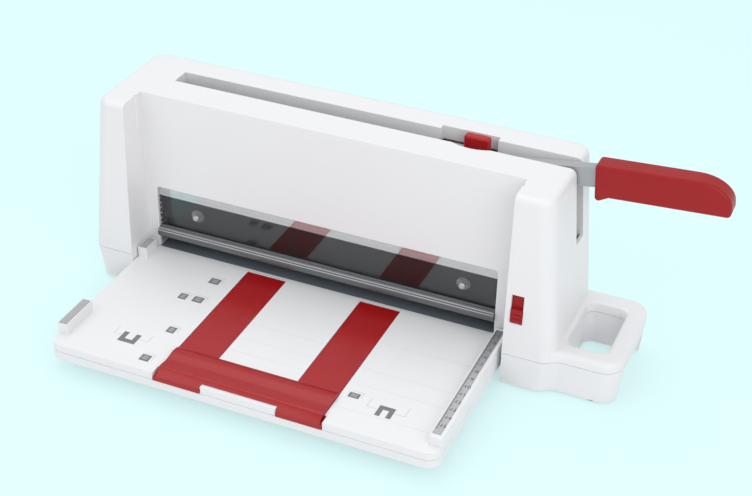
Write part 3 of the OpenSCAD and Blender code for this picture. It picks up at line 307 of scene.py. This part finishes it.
# every solid gets its finish, shown or not
nodeFinishes = {
    "base": shellWhite, "top_cover": shellWhite, "rear_panel": shellWhite,
    "tray_top": tableWhite, "tray_shell": tableWhite, "guard": guardSmoke,
    "handle_grip": gripRed, "lock_knob": lockRed, "slide_button": gripRed, "back_gauge": gaugeRed,
    "lever_arm": armGrey, "fence_caps": inlayGrey, "ruler_strip": rulerGrey, "cutting_strip": cuttingIvory,
    "rubber_feet": footRubber, "tray_feet": footRubber,
    "blade_carrier": darkPaint, "blade_keeper": darkPaint, "clamp_bar": darkPaint, "slide_keeper": darkPaint,
    "bed_plates": bedSlate, "blade_screws": boltSteel,
    "pivot_bush": bushBrass, "carrier_bushes": bushBrass,
}
for nodeName, node in nodes.items():
    setFinish(node, nodeFinishes.get(nodeName, brushedSteel))
print("solids finished")


# moulded pieces: the solid's own form with its edges softened
softening = {"merge": 0.00001, "flat": 0.6, "onPlane": 0.0001, "roundSteps": 5}
plainEdge = {"steps": 2, "sharp": 38}
moulded = {
    "top_cover": {"name": "coverShell", "body": "housing", "slot": "white_plastic", "edge": 0.0007, "steps": 3},
    "base": {"name": "baseShell", "body": "housing", "slot": "white_plastic", "edge": 0.0005},
    "rear_panel": {"name": "rearShell", "body": "housing", "slot": "white_plastic", "edge": 0.0005},
    "guard": {"name": "guardPlate", "body": "housing", "slot": "smoked_clear", "edge": 0.0003},
    "tray_top": {"name": "tableTop", "body": "tray", "slot": "white_plastic", "edge": 0.0004},
    "tray_shell": {"name": "tableShell", "body": "tray", "slot": "white_plastic", "edge": 0.0005},
    "fence_caps": {"name": "fenceInlays", "body": "tray", "slot": "grey_inlay", "edge": 0.00015},
    "ruler_strip": {"name": "rulerInlay", "body": "tray", "slot": "grey_inlay", "edge": 0.00015},
    "back_gauge": {"name": "gaugeMoulding", "body": "gauge", "slot": "red_plastic", "edge": 0.0006,
                   "steps": 3, "sharp": 32},
    "handle_grip": {"name": "gripMoulding", "body": "lever", "slot": "red_plastic", "edge": 0.0004,
                    "sharp": 50, "rim": 0.0028,
                    "nose": {"tilt": 3.7, "from": 0.0798, "depth": 0.0215, "stretch": 1.217, "fixed": 0.1053}},
    "lever_arm": {"name": "armForging", "body": "lever", "slot": "arm_metal", "edge": 0.0006},
    "lock_knob": {"name": "lockKnobMoulding", "body": "lever_lock", "slot": "red_plastic", "edge": 0.0004,
                  "crown": 0.0032},
    "lock_tongue": {"name": "lockBlade", "body": "lever_lock", "slot": "steel", "edge": 0.0002},
    "slide_button": {"name": "slideButtonMoulding", "body": "front_slide", "slot": "red_plastic", "edge": 0.0003},
    "rubber_feet": {"name": "standFeet", "body": "housing", "slot": "rubber", "edge": 0.0006},
    "tray_feet": {"name": "tableFeet", "body": "tray", "slot": "rubber", "edge": 0.0006},
    "blade_screws": {"name": "bladeBolts", "body": "carriage", "slot": "steel", "edge": 0.0003},
}


def mergedCopy(nodeName, name):  # comes back in edit mode, selected all over
    piece = bpy.data.objects.new(name, nodes[nodeName].data.copy())
    piece.data.name = name
    bpy.context.scene.collection.objects.link(piece)
    pick(piece)
    bpy.ops.object.mode_set(mode="EDIT")
    bpy.ops.mesh.select_all(action="SELECT")
    bpy.ops.mesh.customdata_custom_splitnormals_clear()
    bpy.ops.mesh.remove_doubles(threshold=softening["merge"])
    return piece


def clearMesh(kind):
    bpy.ops.object.mode_set(mode="EDIT")
    bpy.ops.mesh.select_mode(type=kind)
    bpy.ops.mesh.select_all(action="DESELECT")
    bpy.ops.object.mode_set(mode="OBJECT")


def roundSelected(width, clamp):
    bpy.ops.object.mode_set(mode="EDIT")
    bpy.ops.mesh.bevel(offset=width, segments=softening["roundSteps"], affect="EDGES", clamp_overlap=clamp)
    bpy.ops.object.mode_set(mode="OBJECT")


def roundCrown(piece, width):  # the rim of the top face
    clearMesh("EDGE")
    points = [vertex.co.copy() for vertex in piece.data.vertices]
    top = max(point.z for point in points) - softening["onPlane"]
    for rim in piece.data.edges:
        rim.select = all(points[i].z > top for i in rim.vertices)
    roundSelected(width, True)


def roundSides(piece, width):  # the outlines of the front and rear faces
    clearMesh("EDGE")
    points = [vertex.co.copy() for vertex in piece.data.vertices]
    near = min(point.y for point in points) + softening["onPlane"]
    far = max(point.y for point in points) - softening["onPlane"]
    for rim in piece.data.edges:
        ends = [points[i].y for i in rim.vertices]
        rim.select = max(ends) < near or min(ends) > far
    roundSelected(width, False)


def drawNose(piece, look):  # stretches the curve at the outer end along the grip
    tilt = math.radians(look["tilt"])
    out = Vector((math.cos(tilt), 0, math.sin(tilt)))
    up = Vector((-math.sin(tilt), 0, math.cos(tilt)))
    clearMesh("VERT")
    start = min(vertex.co.dot(out) for vertex in piece.data.vertices)
    top = max(vertex.co.dot(up) for vertex in piece.data.vertices)
    for vertex in piece.data.vertices:
        beyond = vertex.co.dot(out) > start + look["from"]
        vertex.select = beyond and vertex.co.dot(up) > top - look["depth"]
    bpy.ops.object.mode_set(mode="EDIT")
    bpy.ops.transform.resize(value=(look["stretch"], 1, 1), orient_type="GLOBAL",
                             orient_matrix=(out, (0, 1, 0), up), orient_matrix_type="GLOBAL",
                             constraint_axis=(True, False, False),
                             center_override=out * (start + look["fixed"]))
    bpy.ops.object.mode_set(mode="OBJECT")


def softCopy(nodeName, look):
    piece = mergedCopy(nodeName, look["name"])
    bpy.ops.mesh.dissolve_limited(angle_limit=math.radians(softening["flat"]))
    bpy.ops.object.mode_set(mode="OBJECT")
    if "crown" in look:
        roundCrown(piece, look["crown"])
    if "nose" in look:
        drawNose(piece, look["nose"])
    if "rim" in look:
        roundSides(piece, look["rim"])
    edge = piece.modifiers.new("softEdge", "BEVEL")
    edge.width = look["edge"]
    edge.segments = look["steps"]
    edge.limit_method = "ANGLE"
    edge.angle_limit = math.radians(look["sharp"])
    bpy.ops.object.modifier_apply(modifier=edge.name)
    bpy.ops.object.shade_smooth_by_angle(angle=math.radians(look["sharp"]))
    level = piece.modifiers.new("flatFaces", "WEIGHTED_NORMAL")
    level.keep_sharp = True
    bpy.ops.object.modifier_apply(modifier=level.name)
    setFinish(piece, nodeFinishes.get(nodeName, brushedSteel))
    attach(piece, look["body"])
    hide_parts(nodeName)


for nodeName, look in moulded.items():
    softCopy(nodeName, {**plainEdge, **look})
print("mouldings softened:", len(moulded))


# springs: a smoothed copy of the clamp springs, attached to the clamp body
springs = {"node": "clamp_springs", "name": "pressSprings", "body": "clamp", "slot": "steel", "sharp": 50,
           "joint": "lever_swing", "keep": 0.6}


def coilCopy(look):
    coils = mergedCopy(look["node"], look["name"])
    bpy.ops.object.mode_set(mode="OBJECT")
    bpy.ops.object.shade_smooth_by_angle(angle=math.radians(look["sharp"]))
    setFinish(coils, brushedSteel)
    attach(coils, look["body"])
    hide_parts(look["node"])
    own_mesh(coils)


coilCopy(springs)
print("springs wound")


# flat prints on the table: thin plates on its surface, in millimetres from the part's own zero point
designMid = (58.0776, -43.1)  # the frame's origin in those millimetres
rulerRise = 0.0082  # the ruler stands this far above the table
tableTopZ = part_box("ruler_strip")[1].z - rulerRise
prints = {
    "thick": 0.00005,
    "line": 0.35,
    "tiles": [((-87.5, -33.4), (-78.3, -25.6)), ((-99.6, -63.2), (-92.4, -55.4)),
              ((-87.1, -62.4), (-78.2, -54.6)), ((-84.8, -107.8), (-77.7, -100.0)),
              ((-85.4, -147.8), (-77.2, -140.0)), ((79.2, -122.0), (88.0, -116.0))],
    "bars": (0.30, 0.62),  # two short bars inside each tile, as parts of its depth
    "barInset": 0.22,
    "barDepth": 0.13,
    "cornerFrom": 1.6,  # a fine corner line behind and beside each tile
    "cornerGap": 1.9,
    "cornerTo": 2.4,
    "leftU": [((-113.4, -128.6), (-109.2, -120.4)), ((-113.4, -133.0), (-98.4, -128.6)),
              ((-102.6, -128.6), (-98.4, -120.4))],
    "rightU": [((105.9, -133.6), (109.8, -125.4)), ((105.9, -125.4), (118.6, -121.2)),
               ((114.7, -133.6), (118.6, -125.4))],
    "brackets": [((97.0, -115.7), (97.0, -126.5)), ((97.0, -126.5), (105.5, -126.5)),
                 ((127.5, -115.7), (127.5, -126.5)), ((119.0, -126.5), (127.5, -126.5)),
                 ((-120.3, -116.3), (-120.3, -125.4)), ((-120.3, -125.4), (-113.8, -125.4)),
                 ((-90.0, -117.0), (-90.0, -125.6)), ((-98.2, -125.6), (-90.0, -125.6))],
    "rules": [((76.0, -50.0), (150.0, -50.0)), ((76.0, -86.0), (150.0, -86.0)),
              ((76.0, -105.0), (150.0, -105.0)), ((76.0, -136.0), (150.0, -136.0)),
              ((-26.0, -70.0), (36.0, -70.0)), ((-26.0, -90.0), (36.0, -90.0)),
              ((-26.0, -107.0), (36.0, -107.0))],
}


def plateAt(low, high, z, thick):
    bpy.ops.mesh.primitive_plane_add(size=1)
    plate = bpy.context.object
    plate.scale = ((high[0] - low[0]) * mm, (high[1] - low[1]) * mm, 1)
    plate.location = (((low[0] + high[0]) / 2 - designMid[0]) * mm,
                      ((low[1] + high[1]) / 2 - designMid[1]) * mm, z)
    bpy.ops.object.transform_apply(location=True, rotation=True, scale=True)
    bpy.ops.object.mode_set(mode="EDIT")
    bpy.ops.mesh.select_all(action="SELECT")
    bpy.ops.mesh.extrude_region_move(TRANSFORM_OT_translate={"value": (0, 0, thick)})
    bpy.ops.mesh.select_all(action="SELECT")
    bpy.ops.mesh.normals_make_consistent(inside=False)
    bpy.ops.object.mode_set(mode="OBJECT")
    return plate


def joinAs(name, plates, body, finish):
    clearSelection()
    for plate in plates:
        plate.select_set(True)
    bpy.context.view_layer.objects.active = plates[0]
    bpy.ops.object.join()
    joined = bpy.context.object
    joined.name = name
    joined.data.name = name
    setFinish(joined, finish)
    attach(joined, body)


def strokes(ends, width, z, thick):
    half = width / 2
    plates = []
    for first, last in ends:
        low = (min(first[0], last[0]) - half, min(first[1], last[1]) - half)
        high = (max(first[0], last[0]) + half, max(first[1], last[1]) + half)
        plates.append(plateAt(low, high, z, thick))
    return plates


def drawPrints(look):
    clearSelection()
    z = tableTopZ
    thick = look["thick"]
    dark = [plateAt(low, high, z, thick) for low, high in look["tiles"] + look["leftU"] + look["rightU"]]
    joinAs("tablePrints", dark, "tray", printDark)
    inner = []
    corners = []
    for low, high in look["tiles"]:
        wide, deep = high[0] - low[0], high[1] - low[1]
        for part in look["bars"]:
            y = low[1] + part * deep
            inner.append(plateAt((low[0] + look["barInset"] * wide, y),
                                 (high[0] - look["barInset"] * wide, y + look["barDepth"] * deep),
                                 z + thick, thick))
        turn = (high[0] + look["cornerGap"], high[1] + look["cornerGap"])
        corners.append(((low[0] + look["cornerFrom"], turn[1]), turn))
        corners.append((turn, (turn[0], low[1] + look["cornerTo"])))
    fine = strokes(look["brackets"] + corners, look["line"], z, thick)
    joinAs("tableFineLines", inner + fine, "tray", printFaint)
    joinAs("tableRules", strokes(look["rules"], look["line"], z, thick), "tray", printPale)


drawPrints(prints)
print("table prints drawn")


# ruler: millimetre strokes and plain centimetre figures
ruler = {"bladeY": 16.1, "first": 3, "last": 15, "spare": 4, "inset": 0.2, "width": 0.4,
         "long": 2.8, "short": 2.0, "fine": 1.2,
         "figure": 0.0050, "figureInset": 0.0019, "figureSteps": 3, "thick": 0.00004}


def figureAt(text, x, y, z, look):
    bpy.ops.object.text_add()
    figure = bpy.context.object
    figure.data.body = text
    figure.data.align_x = "CENTER"
    figure.data.align_y = "CENTER"
    figure.data.size = look["figure"]
    figure.data.extrude = look["thick"] / 2
    figure.data.resolution_u = look["figureSteps"]
    bpy.ops.object.convert(target="MESH")
    figure = bpy.context.object
    figure.location = (x, y, z + look["thick"] / 2)
    bpy.ops.object.transform_apply(location=True, rotation=True, scale=True)
    return figure


def strokeReach(millimetre, look):
    if millimetre % 10 == 0:
        return look["long"]
    return look["short"] if millimetre % 5 == 0 else look["fine"]


def drawRuler(look):
    clearSelection()
    low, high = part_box("ruler_strip")
    start = low.x / mm + designMid[0] + look["inset"]
    half = look["width"] / 2
    marks = []
    for millimetre in range(look["first"] * 10 - look["spare"], look["last"] * 10 + look["spare"] + 1):
        y = look["bladeY"] - millimetre
        end = start + strokeReach(millimetre, look)
        marks.append(plateAt((start, y - half), (end, y + half), high.z, look["thick"]))
    for centimetre in range(look["first"], look["last"] + 1):
        y = (look["bladeY"] - centimetre * 10 - designMid[1]) * mm
        marks.append(figureAt(str(centimetre), high.x - look["figureInset"], y, high.z, look))
    joinAs("rulerMarks", marks, "tray", figureInk)


drawRuler(ruler)
print("ruler marked")


# stage: pale floor, even sky, broad lamps
stageLook = {"floor": 14.0, "drop": 0.0001, "seen": (0.30, 0.395, 0.395), "glow": (0.46, 0.60, 0.60),
             "bounce": (0.90, 0.90, 0.90), "rough": 0.9, "shine": 0.1,
             "sky": 0.71, "skyColour": (0.96, 0.98, 1.0)}


def buildStage(look):
    bpy.ops.mesh.primitive_plane_add(size=look["floor"], location=(0, 0, -look["drop"]))
    floor = bpy.context.object
    floor.name = "paleFloor"
    finish, tree, shader = startFinish("paleFloor")
    path = tree.nodes.new("ShaderNodeLightPath")
    direct = combine(tree, "ADD", path.outputs["Is Camera Ray"], path.outputs["Is Glossy Ray"])
    seen = combine(tree, "ADD", direct, path.outputs["Is Transmission Ray"])
    tree.links.new(mixColours(tree, seen, look["bounce"], look["seen"]), shader.inputs["Base Color"])
    tree.links.new(seen, shader.inputs["Emission Strength"])
    shader.inputs["Emission Color"].default_value = (*look["glow"], 1)
    shader.inputs["Roughness"].default_value = look["rough"]
    shader.inputs["Specular IOR Level"].default_value = look["shine"]
    floor.data.materials.append(finish)
    world = bpy.data.worlds.new("studioSky")
    bpy.context.scene.world = world
    world.use_nodes = True
    sky = world.node_tree.nodes["Background"]
    sky.inputs["Color"].default_value = (*look["skyColour"], 1)
    sky.inputs["Strength"].default_value = look["sky"]


lampAim = (0, 0, 0.06)
lamps = {
    "keyLamp": {"place": (1.2, -1.1, 1.2), "size": (1.4, 1.4), "watts": 10.5},
    "fillLamp": {"place": (-1.0, -1.1, 1.3), "size": (1.4, 0.5), "watts": 3.5},
    "topLamp": {"place": (-0.4, 0.5, 1.8), "size": (1.6, 1.6), "watts": 8.5},
}


def hangLamp(name, look):
    bpy.ops.object.light_add(type="AREA", location=look["place"])
    lamp = bpy.context.object
    lamp.name = name
    lamp.data.shape = "RECTANGLE"
    lamp.data.size, lamp.data.size_y = look["size"]
    lamp.data.energy = look["watts"]
    aim = Vector(lampAim) - Vector(look["place"])
    lamp.rotation_euler = aim.to_track_quat("-Z", "Y").to_euler()


buildStage(stageLook)
for lampName, look in lamps.items():
    hangLamp(lampName, look)
bpy.context.scene.view_settings.view_transform = "Standard"
print("stage lit")
